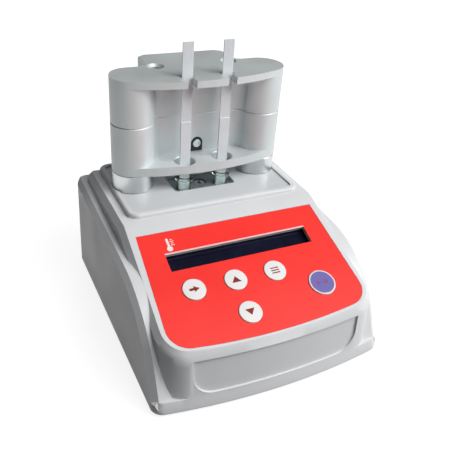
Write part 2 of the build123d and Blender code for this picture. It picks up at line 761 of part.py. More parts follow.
def deck_plate():
    """Flush plate that carries the posts, the heat block and its opening."""
    plan = rounded_plan(PLATE_WIDTH, PLATE_DEPTH, PLATE_FRONT, PLATE_CORNER_RADIUS - PLATE_GAP)
    plate = extrude(Pos(0, 0, PLATE_UNDER) * plan, PLATE_THICKNESS)
    opening = rounded_plan(OPENING_WIDTH, OPENING_DEPTH, OPENING_FRONT, OPENING_CORNER_RADIUS)
    plate -= extrude(Pos(0, 0, PLATE_UNDER) * opening, 4 * PLATE_THICKNESS, both=True)
    for side in (-1, 1):
        plate -= upright(M4 + SCREW_CLEARANCE, side * POST_X, POST_Y, PLATE_UNDER - 1, DECK_HEIGHT + 1)
        plate -= upright(M3 + SCREW_FIT, side * CARRIER_EAR_X, OPENING_Y, PLATE_UNDER - 1, DECK_HEIGHT - 0.6)
    for x, y in deck_screw_places():
        plate -= upright(M25 + SCREW_FIT, x, y, PLATE_UNDER - 1, DECK_HEIGHT - 0.6)
    return plate


def deck_screws():
    screws = Part()
    for x, y in deck_screw_places():
        screws += pan_screw(M25, x, y, PLATE_UNDER - SHELF_THICKNESS, SHELF_THICKNESS + 1.8)
    return screws


def block_plan(gap):
    """Plan of the heat block; gap is left between it and the deck opening."""
    return rounded_plan(
        OPENING_WIDTH - 2 * gap,
        OPENING_DEPTH - 2 * gap,
        OPENING_FRONT + gap,
        OPENING_CORNER_RADIUS,
    )


def heat_block():
    """Metal block with two blind bores for the wells, a screw and a probe bore."""
    body = extrude(Pos(0, 0, BLOCK_FLOOR) * block_plan(BLOCK_GAP), BLOCK_HEIGHT)
    body = chamfer(body.faces().sort_by(Axis.Z)[-1].edges(), 0.4)
    for side in (-1, 1):
        body -= upright(WELL_RADIUS + WELL_FIT, side * WELL_X, WELL_Y, WELL_BOTTOM, BLOCK_TOP + 1)
    body -= upright(M3 + SCREW_CLEARANCE, 0, OPENING_Y, BLOCK_FLOOR - 1, BLOCK_TOP + 1)
    body -= upright(2 * M3 + 0.1, 0, OPENING_Y, BLOCK_TOP - 2.4, BLOCK_TOP + 1)
    probe_y = OPENING_FRONT + OPENING_DEPTH - BLOCK_GAP
    bore = Rot(90, 0, 0) * Cylinder(PROBE_RADIUS + 0.05, 14)
    body -= Pos(PROBE_X, probe_y, BLOCK_TOP - PROBE_DROP) * bore
    return body


def heater_pad():
    pad = extrude(Pos(0, 0, CARRIER_FLOOR) * block_plan(BLOCK_GAP + 0.6), HEATER_THICKNESS)
    return pad - upright(M3 + SCREW_CLEARANCE, 0, OPENING_Y, CARRIER_FLOOR - 1, BLOCK_FLOOR + 1)


def temperature_probe():
    """Sensor rod in the rear of the heat block, with its round end cap."""
    start = OPENING_FRONT + OPENING_DEPTH - BLOCK_GAP - 6.9
    rod = Rot(90, 0, 0) * Cylinder(PROBE_RADIUS, PROBE_LENGTH)
    return Pos(PROBE_X, start + PROBE_LENGTH / 2, BLOCK_TOP - PROBE_DROP) * rod


def block_carrier():
    """Heat-resistant cup that hangs the block under the deck plate."""
    cup_gap = BLOCK_GAP - CARRIER_GAP
    outer = extrude(
        Pos(0, 0, CARRIER_FLOOR - CARRIER_WALL) * block_plan(cup_gap - CARRIER_WALL),
        PLATE_UNDER - CARRIER_FLOOR + CARRIER_WALL,
    )
    ears = block(
        (-CARRIER_EAR_X - 4, CARRIER_EAR_X + 4),
        (OPENING_Y - CARRIER_EAR_WIDTH / 2, OPENING_Y + CARRIER_EAR_WIDTH / 2),
        (PLATE_UNDER - CARRIER_WALL, PLATE_UNDER),
    )
    cup = outer + ears - extrude(Pos(0, 0, CARRIER_FLOOR) * block_plan(cup_gap), DECK_HEIGHT)
    cup -= upright(M3 + SCREW_FIT, 0, OPENING_Y, CARRIER_FLOOR - 2 * CARRIER_WALL, CARRIER_FLOOR + 1)
    for side in (-1, 1):
        cup -= upright(
            M3 + SCREW_CLEARANCE, side * CARRIER_EAR_X, OPENING_Y, PLATE_UNDER - 2 * CARRIER_WALL, PLATE_UNDER + 1
        )
    rear = OPENING_FRONT + OPENING_DEPTH
    slot = Rot(90, 0, 0) * Cylinder(PROBE_RADIUS + 0.2, 10)
    return cup - Pos(PROBE_X, rear + 3, BLOCK_TOP - PROBE_DROP) * slot


def carrier_screws():
    screws = Part()
    for side in (-1, 1):
        screws += pan_screw(M3, side * CARRIER_EAR_X, OPENING_Y, PLATE_UNDER - CARRIER_WALL, CARRIER_WALL + 1.8)
    return screws


def block_screw():
    """Screw that clamps the block and the heater in the cup."""
    seat = BLOCK_TOP - 2.4
    length = seat - CARRIER_FLOOR + CARRIER_WALL
    screw = pan_screw(M3, 0, OPENING_Y, seat, length, points_up=False)
    top = seat + 1.3 * M3
    socket = Pos(0, 0, top - 1.1) * extrude(Pos(0, OPENING_Y) * RegularPolygon(1.25, 6), 2)
    return screw - socket


def post(side):
    """Round metal post between the deck plate and the holder."""
    x = side * POST_X
    body = upright(POST_RADIUS, x, POST_Y, DECK_HEIGHT, HOLDER_FLOOR)
    body = chamfer(body.edges(), POST_CHAMFER)
    return body - upright(M4 + SCREW_CLEARANCE, x, POST_Y, DECK_HEIGHT - 1, HOLDER_FLOOR + 1)


def post_screws():
    screws = Part()
    for side in (-1, 1):
        screws += pan_screw(M4, side * POST_X, POST_Y, PLATE_UNDER, PLATE_THICKNESS + POST_HEIGHT + 9)
    return screws


def holder_plan():
    """Plan of the holder's body: two round lobes, a recess between them and a rear block."""
    lobe_rear = POST_Y + LOBE_RADIUS
    half = REAR_BLOCK_WIDTH / 2
    waist = REAR_BLOCK_WAIST / 2
    back = REAR_BLOCK_BACK_WIDTH / 2
    waist_y = (lobe_rear + REAR_BLOCK_SHOULDER_Y) / 2
    right_side = ThreePointArc((half, lobe_rear), (waist, waist_y), (half, REAR_BLOCK_SHOULDER_Y))
    left_side = ThreePointArc((-half, REAR_BLOCK_SHOULDER_Y), (-waist, waist_y), (-half, lobe_rear))
    rear = Polyline(
        (half, REAR_BLOCK_SHOULDER_Y),
        (back, REAR_BLOCK_BACK_Y),
        (-back, REAR_BLOCK_BACK_Y),
        (-half, REAR_BLOCK_SHOULDER_Y),
    )
    front = Polyline(
        (-half, lobe_rear),
        (-POST_X, lobe_rear),
        (-POST_X, RECESS_BACK_Y),
        (POST_X, RECESS_BACK_Y),
        (POST_X, lobe_rear),
        (half, lobe_rear),
    )
    plan = make_face(right_side + rear + left_side + front)
    for side in (-1, 1):
        plan += Pos(side * POST_X, POST_Y) * Circle(LOBE_RADIUS)
    recess_corners = [v for v in plan.vertices() if abs(v.Y - RECESS_BACK_Y) < 0.01 and abs(v.X) < POST_X]
    plan = fillet(recess_corners, RECESS_ROUND)
    rear_corners = [v for v in plan.vertices() if abs(v.Y - lobe_rear) < 0.01 and abs(abs(v.X) - half) < 0.01]
    return fillet(rear_corners, REAR_ROUND)


def flange_plan(front):
    """Plan of a flange whose front is one arc, tangent to both lobes."""
    dy = POST_Y - front
    reach = dy - LOBE_RADIUS
    centre_y = front + (POST_X ** 2 + dy ** 2 - LOBE_RADIUS ** 2) / (2 * reach)
    radius = centre_y - front
    share = LOBE_RADIUS / (radius - LOBE_RADIUS)
    end = (POST_X * (1 + share), POST_Y - (centre_y - POST_Y) * share)
    arc = ThreePointArc((-end[0], end[1]), (0, front), end)
    back = Polyline(end, (POST_X, RECESS_BACK_Y + 1), (-POST_X, RECESS_BACK_Y + 1), (-end[0], end[1]))
    return make_face(arc + back)


def sensor_outline(gap=0.0):
    """Front view of the sensor: flat foot, straight sides and a round top, in X and Z."""
    radius = SENSOR_WIDTH / 2 + gap
    top_centre = FLANGE_TOP + SENSOR_HEIGHT - SENSOR_WIDTH / 2
    arch = ThreePointArc((radius, top_centre), (0, top_centre + radius), (-radius, top_centre))
    legs = Polyline((-radius, top_centre), (-radius, FLANGE_TOP), (radius, FLANGE_TOP), (radius, top_centre))
    return make_face(arch + legs)


def along_y(outline, y_from, y_to):
    """Extrudes an outline drawn in X and Z from one Y to another."""
    return Pos(0, y_to, 0) * extrude(Plane.XZ * outline, y_to - y_from)


def lower_holder():
    """Lower half of the holder, with the flange that the wells pass through."""
    body = extrude(Pos(0, 0, HOLDER_FLOOR) * holder_plan(), LOWER_HEIGHT)
    body = chamfer(body.faces().sort_by(Axis.Z)[-1].edges(), SEAM_CHAMFER)
    flange = extrude(Pos(0, 0, HOLDER_FLOOR) * flange_plan(LOWER_FLANGE_FRONT), LOWER_FLANGE_THICKNESS)
    body += flange
    for side in (-1, 1):
        x = side * WELL_X
        body -= upright(FLANGE_HOLE_RADIUS, x, WELL_Y, HOLDER_FLOOR - 1, FLANGE_TOP + 1)
        widened = FLANGE_HOLE_RADIUS + FLANGE_HOLE_CHAMFER
        cone = Cone(FLANGE_HOLE_RADIUS, widened, FLANGE_HOLE_CHAMFER)
        body -= Pos(x, WELL_Y, FLANGE_TOP - FLANGE_HOLE_CHAMFER / 2) * cone
        body -= upright(M4 + SCREW_FIT, side * POST_X, POST_Y, HOLDER_FLOOR - 1, HOLDER_FLOOR + 10)
        body -= upright(PIN_RADIUS + SCREW_FIT, side * POST_X, POST_Y, SEAM_HEIGHT - PIN_LENGTH / 2, SEAM_HEIGHT + 1)
        body -= upright(M25 + SCREW_FIT, side * HOLDER_SCREW_X, HOLDER_SCREW_Y, SEAM_HEIGHT - 9, SEAM_HEIGHT + 1)
    pocket_back = RECESS_BACK_Y - SENSOR_PROUD + SENSOR_DEPTH
    return body - along_y(sensor_outline(SENSOR_GAP), RECESS_BACK_Y - 1, pocket_back)


def upper_holder():
    """Upper half of the holder, with the slotted flange that keeps the dipsticks upright."""
    body = extrude(Pos(0, 0, SEAM_HEIGHT) * holder_plan(), UPPER_HEIGHT)
    body = chamfer(body.faces().sort_by(Axis.Z)[0].edges(), SEAM_CHAMFER)
    flange_low = HOLDER_TOP - UPPER_FLANGE_THICKNESS
    body += extrude(Pos(0, 0, flange_low) * flange_plan(UPPER_FLANGE_FRONT), UPPER_FLANGE_THICKNESS)
    for side in (-1, 1):
        slot = Pos(side * WELL_X, WELL_Y) * RectangleRounded(SLOT_WIDTH, SLOT_DEPTH, SLOT_DEPTH / 2.1)
        body -= extrude(Pos(0, 0, flange_low - 1) * slot, UPPER_FLANGE_THICKNESS + 2)
        mouth = (side * WELL_X - SLOT_MOUTH / 2, side * WELL_X + SLOT_MOUTH / 2)
        body -= block(mouth, (UPPER_FLANGE_FRONT - 2, WELL_Y), (flange_low - 1, HOLDER_TOP + 1))
        x = side * HOLDER_SCREW_X
        body -= upright(M25 + SCREW_CLEARANCE, x, HOLDER_SCREW_Y, SEAM_HEIGHT - 1, HOLDER_TOP)
        body -= upright(HOLDER_BORE_RADIUS, x, HOLDER_SCREW_Y, HOLDER_TOP - HOLDER_BORE_DEPTH, HOLDER_TOP + 1)
        sink = Cone(HOLDER_BORE_RADIUS, HOLDER_BORE_RADIUS + HOLDER_COUNTERSINK, HOLDER_COUNTERSINK)
        body -= Pos(x, HOLDER_SCREW_Y, HOLDER_TOP - HOLDER_COUNTERSINK / 2) * sink
        body -= upright(PIN_RADIUS + SCREW_FIT, side * POST_X, POST_Y, SEAM_HEIGHT - 1, SEAM_HEIGHT + PIN_LENGTH / 2)
    return body


def holder_screws():
    """Screws that clamp the two halves of the holder, deep in their bores."""
    screws = Part()
    seat = HOLDER_TOP - HOLDER_BORE_DEPTH
    length = seat - SEAM_HEIGHT + 8.5
    for side in (-1, 1):
        screws += pan_screw(M25, side * HOLDER_SCREW_X, HOLDER_SCREW_Y, seat, length, points_up=False)
    return screws


def locating_pins():
    pins = Part()
    for side in (-1, 1):
        x = side * POST_X
        pins += upright(PIN_RADIUS, x, POST_Y, SEAM_HEIGHT - PIN_LENGTH / 2, SEAM_HEIGHT + PIN_LENGTH / 2)
    return pins


def lens_place():
    return FLANGE_TOP + SENSOR_HEIGHT - SENSOR_WIDTH / 2 - 0.3


def strip_sensor():
    """Sensor body in its pocket, standing on the flange, with a seat for its lens."""
    front = RECESS_BACK_Y - SENSOR_PROUD
    body = along_y(sensor_outline(), front, front + SENSOR_DEPTH)
    seat = Rot(90, 0, 0) * Cylinder(LENS_RADIUS + 0.02, 2 * (LENS_THICKNESS - LENS_PROUD))
    return body - Pos(0, front, lens_place()) * seat


def sensor_lens():
    front = RECESS_BACK_Y - SENSOR_PROUD - LENS_PROUD
    lens = Rot(90, 0, 0) * Cylinder(LENS_RADIUS, LENS_THICKNESS)
    lens = Pos(0, front + LENS_THICKNESS / 2, lens_place()) * lens
    return fillet(lens.edges().group_by(Axis.Y)[0], 0.3)


def microwell(side):
    """Clear well with a rim, standing on the floor of its bore."""
    rim_low = WELL_TOP - WELL_RIM_HEIGHT
    profile = Polyline(
        (0, WELL_BOTTOM),
        (WELL_FOOT_RADIUS, WELL_BOTTOM),
        (WELL_RADIUS, WELL_BOTTOM + 1.2),
        (WELL_RADIUS, rim_low),
        (WELL_RIM_RADIUS, rim_low),
        (WELL_RIM_RADIUS, WELL_TOP),
        (WELL_RADIUS - WELL_SKIN + 0.3, WELL_TOP),
        (WELL_RADIUS - WELL_SKIN, rim_low),
        (WELL_FOOT_RADIUS - WELL_SKIN + 0.05, WELL_BOTTOM + WELL_FLOOR),
        (0, WELL_BOTTOM + WELL_FLOOR),
        close=True,
    )
    well = revolve(Plane.XZ * make_face(profile), Axis.Z)
    return Pos(side * WELL_X, WELL_Y, 0) * well


def dipstick(side):
    """Flat test strip; its front carries the pads, up to the plain handle."""
    foot = WELL_BOTTOM + WELL_FLOOR + STRIP_STAND
    back = WELL_Y + (STRIP_BACKING + STRIP_PADS) / 2
    face = back - STRIP_BACKING
    x = side * WELL_X
    width = (x - STRIP_WIDTH / 2, x + STRIP_WIDTH / 2)
    strip = block(width, (face, back), (foot, STRIP_HANDLE_TOP))
    return strip + block(width, (face - STRIP_PADS, face), (foot, STRIP_PAD_TOP))


def switch_frame():
    """Snap-in frame of the power switch, open at the front for the rocker."""
    bezel_y = BAY_FLOOR_Y + SWITCH_BEZEL_THICKNESS
    frame = rear_wall_cut(*SWITCH_BEZEL, SWITCH_X, BAY_MIDDLE, BAY_FLOOR_Y, bezel_y, 1.0)
    frame += rear_wall_cut(*SWITCH_BODY, SWITCH_X, BAY_MIDDLE, BAY_FLOOR_Y - SWITCH_BODY_DEPTH, BAY_FLOOR_Y, 0.3)
    half = ROCKER_RADIUS + ROCKER_GAP
    tall = ROCKER_HEIGHT / 2 + ROCKER_GAP
    pivot_y = bezel_y - ROCKER_PIVOT_DEPTH
    frame -= block(
        (SWITCH_X - half, SWITCH_X + half),
        (pivot_y - half, bezel_y + 1),
        (BAY_MIDDLE - tall, BAY_MIDDLE + tall),
    )
    sockets = tall + ROCKER_PIN_LENGTH
    frame -= upright(ROCKER_PIN_RADIUS + 0.05, SWITCH_X, pivot_y, BAY_MIDDLE - sockets, BAY_MIDDLE + sockets)
    return frame


def power_rocker():
    """Rocker on two short pins, stored tilted to its off side."""
    depth = ROCKER_PIVOT_DEPTH
    points = [
        (-ROCKER_RADIUS, depth + 0.5),
        (0, depth - 0.2),
        (ROCKER_RADIUS, depth + 0.5),
        (ROCKER_RADIUS, -2.6),
        (-ROCKER_RADIUS, -2.6),
    ]
    plan = make_face(Polyline(*points, close=True)) & Circle(ROCKER_RADIUS)
    rocker = extrude(plan, ROCKER_HEIGHT / 2, both=True)
    pin_half = ROCKER_HEIGHT / 2 + ROCKER_GAP + ROCKER_PIN_LENGTH - 0.1
    rocker += Cylinder(ROCKER_PIN_RADIUS, 2 * pin_half)
    pivot_y = BAY_FLOOR_Y + SWITCH_BEZEL_THICKNESS - depth
    return Pos(SWITCH_X, pivot_y, BAY_MIDDLE) * Rot(0, 0, -ROCKER_TILT) * rocker


def dc_inlet():
    """Round power socket with its centre pin, screwed into the rear bay."""
    front = BAY_FLOOR_Y + INLET_FLANGE_THICKNESS
    body = rear_disc(INLET_FLANGE_RADIUS, INLET_X, BAY_FLOOR_Y, front)
    body += rear_disc(INLET_BARREL_RADIUS, INLET_X, front - INLET_LENGTH, front)
    body -= rear_disc(INLET_BORE_RADIUS, INLET_X, front - INLET_LENGTH + 3, front + 1)
    return body + rear_disc(INLET_PIN_RADIUS, INLET_X, front - INLET_LENGTH + 2, front - 1)


def inlet_nut():
    nut_y = BAY_FLOOR_Y - WALL
    nut = extrude(Plane.XZ * RegularPolygon(INLET_NUT_WIDTH / 2, 6, major_radius=False), INLET_NUT_THICKNESS)
    nut = Pos(INLET_X, nut_y, BAY_MIDDLE) * nut
    return nut - rear_disc(INLET_BARREL_RADIUS + SCREW_FIT, INLET_X, nut_y - 5, nut_y + 1)


def build_nodes():
    """Every piece of the incubator under its node name."""
    nodes = {
        "housing": housing(),
        "base_plate": base_plate(),
        "rubber_feet": rubber_feet(),
        "base_screws": base_screws(),
        "control_overlay": control_overlay(),
        "key_switches": key_switches(),
        "keypad_board": keypad_board(),
        "keypad_screws": panel_screws(KEYPAD_BOSSES, KEYPAD_TOP, BOARD_THICKNESS + 4.5),
        "lcd_frame": lcd_frame(),
        "lcd_glass": lcd_glass(),
        "lcd_backlight": lcd_backlight(),
        "lcd_board": lcd_board(),
        "lcd_screws": panel_screws(lcd_boss_places(), LCD_BOARD_TOP, BOARD_THICKNESS + 4.0),
        "deck_plate": deck_plate(),
        "deck_screws": deck_screws(),
        "heat_block": heat_block(),
        "heater_pad": heater_pad(),
        "temperature_probe": temperature_probe(),
        "block_carrier": block_carrier(),
        "carrier_screws": carrier_screws(),
        "block_screw": block_screw(),
        "left_post": post(-1),
        "right_post": post(1),
        "post_screws": post_screws(),
        "lower_holder": lower_holder(),
        "upper_holder": upper_holder(),
        "holder_screws": holder_screws(),
        "locating_pins": locating_pins(),
        "strip_sensor": strip_sensor(),
        "sensor_lens": sensor_lens(),
        "left_well": microwell(-1),
        "right_well": microwell(1),
        "left_dipstick": dipstick(-1),
        "right_dipstick": dipstick(1),
        "control_board": control_board(),
        "board_screws": board_screws(),
        "dc_inlet": dc_inlet(),
        "inlet_nut": inlet_nut(),
        "switch_frame": switch_frame(),
        "power_rocker": power_rocker(),
    }
    for name, place in KEYS.items():
        nodes[name] = key(*place)
    return nodes


def main():
    os.makedirs("parts", exist_ok=True)
    for name, shape in build_nodes().items():
        shape.label = name
        export_step(shape, f"parts/{name}.step")


main()
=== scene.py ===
import json
import math

import bmesh
import bpy
from mathutils import Matrix, Vector


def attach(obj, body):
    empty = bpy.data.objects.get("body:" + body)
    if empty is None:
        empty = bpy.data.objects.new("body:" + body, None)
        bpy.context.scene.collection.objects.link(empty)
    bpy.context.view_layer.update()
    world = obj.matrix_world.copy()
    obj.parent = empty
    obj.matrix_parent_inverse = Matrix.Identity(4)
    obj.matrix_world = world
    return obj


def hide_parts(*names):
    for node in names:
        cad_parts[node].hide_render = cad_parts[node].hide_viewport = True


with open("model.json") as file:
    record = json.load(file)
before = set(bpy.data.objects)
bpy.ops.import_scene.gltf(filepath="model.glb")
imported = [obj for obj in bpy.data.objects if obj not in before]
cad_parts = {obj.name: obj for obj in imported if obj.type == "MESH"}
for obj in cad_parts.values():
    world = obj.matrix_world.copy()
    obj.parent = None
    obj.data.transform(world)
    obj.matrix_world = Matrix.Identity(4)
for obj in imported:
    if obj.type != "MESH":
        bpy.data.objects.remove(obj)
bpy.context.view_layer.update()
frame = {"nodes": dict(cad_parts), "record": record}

# Small bench incubator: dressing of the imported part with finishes, key symbols, lamps and
# the camera. Blender works in metres, +Z up, and the key panel faces -Y. The named sizes below
# are in millimetres unless a comment says otherwise.

MM = 0.001

# The frame's pieces: the slot of each node and the body that carries it
SLOTS = {part["node"]: part["material_slot"] for part in frame["record"]["subparts"]}
BODY_OF = {
    node: body for body, nodes in frame["record"]["behaviour"]["bodies"].items() for node in nodes
}

# Sloping key panel: a distance is measured down the panel from its top edge
PANEL_ANGLE = math.radians(21.0)
PANEL_TOP = Vector((0.0, -2.8, 46.9)) * MM
FILM_TOP = -0.1

# Round keys
KEY_PROUD = 0.3
KEY_PITCH = 17.75
KEY_ROW_START_X = -26.2
KEY_ROW_DISTANCE = 28.75
KEY_DOWN_DISTANCE = 43.7
START_KEY_X = 26.5
START_KEY_DISTANCE = 39.0
START_KEY_RADIUS = 5.8
START_KEY_RIM = 0.7
KEY_PLACES = {
    "key_right": (KEY_ROW_START_X, KEY_ROW_DISTANCE),
    "key_up": (KEY_ROW_START_X + KEY_PITCH, KEY_ROW_DISTANCE),
    "key_menu": (KEY_ROW_START_X + 2 * KEY_PITCH, KEY_ROW_DISTANCE),
    "key_down": (KEY_ROW_START_X + KEY_PITCH, KEY_DOWN_DISTANCE),
    "key_start": (START_KEY_X, START_KEY_DISTANCE),
}

# Printing on the keys and on the film; the film ink's thickness also serves the painted highlight
# band at the display window
KEY_INK_THICKNESS = 0.02
FILM_INK_THICKNESS = 0.015
FILM_INK_STEP = 0.001
SIGN_X = -29.0
SIGN_DISTANCE = 6.4

# Display window, and the painted highlight band that stands for the light on its top edge
WINDOW_WIDTH = 64.0
WINDOW_LENGTH = 8.2
WINDOW_DISTANCE = 14.9
WINDOW_HIGHLIGHT_WIDTH = 0.75
WINDOW_HIGHLIGHT_GAP = 0.15

# Upper flange of the holder, whose front is drawn back
UPPER_FLANGE_LOW = 97.7
UPPER_FLANGE_BACK = 23.0
UPPER_FLANGE_REACH = 33.0
UPPER_FLANGE_DRAW = 2.2

# Scooped front field of the housing, whose top edge is lifted and leans back with the wall
FIELD_TOP = 22.6
FIELD_LIFT = 1.5
FIELD_LEAN = 0.09
FIELD_HALF_WIDTH = 36.1
FIELD_FRONT_Y = -51.0

# A point this near to a height counts as lying at it
NEAR = 0.05

# Merging distances, the angle of an edge that stays sharp, and the fineness of a printed disc
MERGE_DISTANCE = 0.002
THINNEST_EDGE = 0.001
SHARP_ANGLE = math.radians(32.0)
DISC_SEGMENTS = 64

# Viewpoint of the photograph, with its turns in radians and its focal length in pixels
CAMERA_PLACE = Vector((-102.25, -196.95, 181.79)) * MM
CAMERA_YAW = 0.480
CAMERA_PITCH = 0.560
CAMERA_ROLL = 0.078
FOCAL_PIXELS = 607.18
IMAGE_PIXELS = 450.0
SENSOR_WIDTH = 36.0

# Floor, surroundings and lamps: metres, and strengths of light
FLOOR_SIZE = 0.75
FLOOR_GLOW = 0.86
WORLD_DIM = 0.07
LAMP_TARGET = Vector((0.0, 0.0, 0.045))
WHITE = (1.0, 1.0, 1.0, 1.0)
FLOOR_GREY = (0.30, 0.30, 0.30, 1.0)
FLOOR_DARK = (0.04, 0.04, 0.04, 1.0)

# Numbers of the Mix node's two colour sockets and of its colour output
MIX_FIRST_COLOUR = 6
MIX_LAST_COLOUR = 7
MIX_COLOUR_OUTPUT = 2

# Nodes that the case, the plates or the glass cover, which need no smooth copy
COVERED_NODES = {
    "keypad_board", "key_switches", "keypad_screws", "lcd_board", "lcd_screws", "lcd_backlight",
    "lcd_frame", "deck_screws", "heater_pad", "temperature_probe", "block_carrier",
    "carrier_screws", "post_screws", "locating_pins", "control_board", "board_screws", "inlet_nut",
}


class Value:
    """A shader socket that can be added up; each sum adds its Math node."""

    def __init__(self, nodes, socket):
        self.nodes = nodes
        self.socket = socket

    def __add__(self, other):
        return self.nodes.node("Math", {"operation": "ADD"}, {0: self, 1: other})

    def __radd__(self, other):
        return self.nodes.node("Math", {"operation": "ADD"}, {0: other, 1: self})


class Nodes:
    """An emptied node tree with its output, and one method for any node."""

    def __init__(self, tree, output):
        self.tree = tree
        self.tree.nodes.clear()
        self.output = self.tree.nodes.new("ShaderNodeOutput" + output)

    def node(self, kind, settings=None, sockets=None, out=0):
        """Adds a node: its settings come first, then the values or links of its sockets."""
        made = self.tree.nodes.new("ShaderNode" + kind)
        for key, value in (settings or {}).items():
            setattr(made, key, value)
        for key, value in (sockets or {}).items():
            if isinstance(value, Value):
                self.tree.links.new(value.socket, made.inputs[key])
            else:
                made.inputs[key].default_value = value
        return Value(self, made.outputs[out])

    def show(self, shader):
        """Links a shader to the tree's output."""
        self.tree.links.new(shader.socket, self.output.inputs["Surface"])


class Surface(Nodes):
    """A node material on Object coordinates, with short methods for the usual patterns."""

    def __init__(self, name):
        self.material = bpy.data.materials.new(name)
        self.material.use_nodes = True
        super().__init__(self.material.node_tree, "Material")
        self.place = self.node("TexCoord", out="Object")

    def noise(self, scale, detail, stretch=(1.0, 1.0, 1.0)):
        where = self.node("Mapping", sockets={"Vector": self.place, "Scale": stretch})
        sockets = {"Vector": where, "Scale": scale, "Detail": detail}
        return self.node("TexNoise", sockets=sockets, out="Fac")

    def ramp(self, value, low, high, first, last):
        """Goes from the first number to the last while the value goes from low to high."""
        span = {"From Min": low, "From Max": high, "To Min": first, "To Max": last}
        return self.node("MapRange", {"clamp": True}, {"Value": value, **span}, out="Result")

    def tint(self, value, low, high, first, last):
        """Goes from the first colour to the last while the value goes from low to high."""
        share = self.ramp(value, low, high, 0.0, 1.0)
        sockets = {"Factor": share, MIX_FIRST_COLOUR: first, MIX_LAST_COLOUR: last}
        return self.node("Mix", {"data_type": "RGBA"}, sockets, out=MIX_COLOUR_OUTPUT)

    def bump(self, height, distance):
        """A relief of the given height in millimetres."""
        sockets = {"Height": height, "Distance": distance * MM}
        return self.node("Bump", sockets=sockets, out="Normal")

    def finish(self, **inputs):
        names = {key.replace("_", " "): value for key, value in inputs.items()}
        self.show(self.node("BsdfPrincipled", sockets=names, out="BSDF"))
        return self.material


def colour(red, green, blue):
    """A linear colour from screen values between 0 and 255."""
    def linear(value):
        value = value / 255.0
        return value / 12.92 if value <= 0.04045 else ((value + 0.055) / 1.055) ** 2.4
    return (linear(red), linear(green), linear(blue), 1.0)


def shade(tone, share):
    """A darker tone of a colour."""
    return tuple(value * share for value in tone[:3]) + (1.0,)


def moulded_plastic(name, tone, grain=0.01, roughness=0.42, mottle=0.04):
    """Satin moulded plastic with a fine spark texture and faint handling marks."""
    surface = Surface(name)
    patches = surface.noise(40.0, 3.0)
    texture = surface.noise(3500.0, 2.0)
    return surface.finish(
        Base_Color=surface.tint(patches, 0.35, 0.65, shade(tone, 1.0 - mottle), tone),
        Roughness=surface.ramp(patches, 0.3, 0.7, roughness - 0.04, roughness + 0.05),
        Normal=surface.bump(texture, grain), IOR=1.5,
    )


def printed_film():
    """Red overlay film with a fine matt weave."""
    surface = Surface("overlay_film")
    patches = surface.noise(25.0, 2.0)
    weave = surface.noise(5200.0, 1.0)
    return surface.finish(
        Base_Color=surface.tint(patches, 0.3, 0.7, colour(246, 40, 32), colour(255, 52, 44)),
        Roughness=surface.ramp(weave, 0.3, 0.7, 0.34, 0.44),
        Normal=surface.bump(weave, 0.006), IOR=1.5,
    )


def blasted_metal(name, tone, roughness, metal=1.0):
    """Bead-blasted aluminium: fine pits and soft patches in its gloss."""
    surface = Surface(name)
    pits = surface.noise(2600.0, 3.0)
    patches = surface.noise(60.0, 3.0)
    return surface.finish(
        Base_Color=surface.tint(patches, 0.35, 0.65, shade(tone, 0.93), tone),
        Roughness=surface.ramp(patches, 0.3, 0.7, roughness - 0.05, roughness + 0.06),
        Metallic=metal, Normal=surface.bump(pits, 0.012),
    )


def turned_metal(name, tone, roughness=0.3):
    """Turned metal: fine rings round the upright axis."""
    surface = Surface(name)
    rings = surface.noise(90.0, 3.0, stretch=(1.0, 1.0, 90.0))
    patches = surface.noise(80.0, 2.0)
    return surface.finish(
        Base_Color=surface.tint(rings, 0.35, 0.65, shade(tone, 0.9), tone),
        Roughness=surface.ramp(patches, 0.3, 0.7, roughness - 0.06, roughness + 0.08),
        Metallic=1.0, Normal=surface.bump(rings, 0.008),
    )


def milled_metal():
    """Grey-green anodised heat block with fine milling marks."""
    surface = Surface("heat_block_metal")
    marks = surface.noise(260.0, 3.0, stretch=(1.0, 12.0, 1.0))
    return surface.finish(
        Base_Color=surface.tint(marks, 0.3, 0.7, colour(108, 124, 122), colour(146, 160, 156)),
        Roughness=surface.ramp(marks, 0.3, 0.7, 0.3, 0.46),
        Metallic=0.45, Normal=surface.bump(marks, 0.01),
    )


def clear_plastic():
    """Clear well plastic with a faint haze in its gloss."""
    surface = Surface("clear_well_plastic")
    haze = surface.noise(900.0, 2.0)
    return surface.finish(
        Base_Color=colour(240, 248, 246), Roughness=surface.ramp(haze, 0.3, 0.7, 0.04, 0.16),
        Transmission_Weight=1.0, IOR=1.45,
    )


def strip_card():
    """White dipstick film with faint fibres along it."""
    surface = Surface("dipstick_film")
    fibres = surface.noise(700.0, 3.0, stretch=(8.0, 8.0, 0.5))
    return surface.finish(
        Base_Color=surface.tint(fibres, 0.3, 0.7, colour(216, 223, 227), colour(230, 236, 239)),
        Roughness=surface.ramp(fibres, 0.3, 0.7, 0.4, 0.55),
        Normal=surface.bump(fibres, 0.015),
        Subsurface_Weight=0.15, Subsurface_Radius=(0.002, 0.002, 0.002), Subsurface_Scale=1.0,
    )


def display_glass():
    """Dark unlit display with a faint haze."""
    surface = Surface("display_glass")
    haze = surface.noise(120.0, 2.0)
    return surface.finish(
        Base_Color=surface.tint(haze, 0.3, 0.7, colour(14, 16, 34), colour(20, 24, 46)),
        Roughness=surface.ramp(haze, 0.3, 0.7, 0.1, 0.18), IOR=1.5,
    )


def circuit_board():
    """Green board with lighter tracks."""
    surface = Surface("circuit_board")
    tracks = surface.noise(500.0, 1.0, stretch=(1.0, 0.2, 1.0))
    return surface.finish(
        Base_Color=surface.tint(tracks, 0.48, 0.52, colour(12, 74, 38), colour(20, 92, 48)),
        Roughness=surface.ramp(tracks, 0.4, 0.6, 0.35, 0.45), IOR=1.5,
    )


def ink(name, tone, roughness=0.4, mottle=0.02):
    """Printed ink, nearly smooth; also used for the painted highlight band at the display window.
    """
    return moulded_plastic(name, tone, 0.002, roughness, mottle)


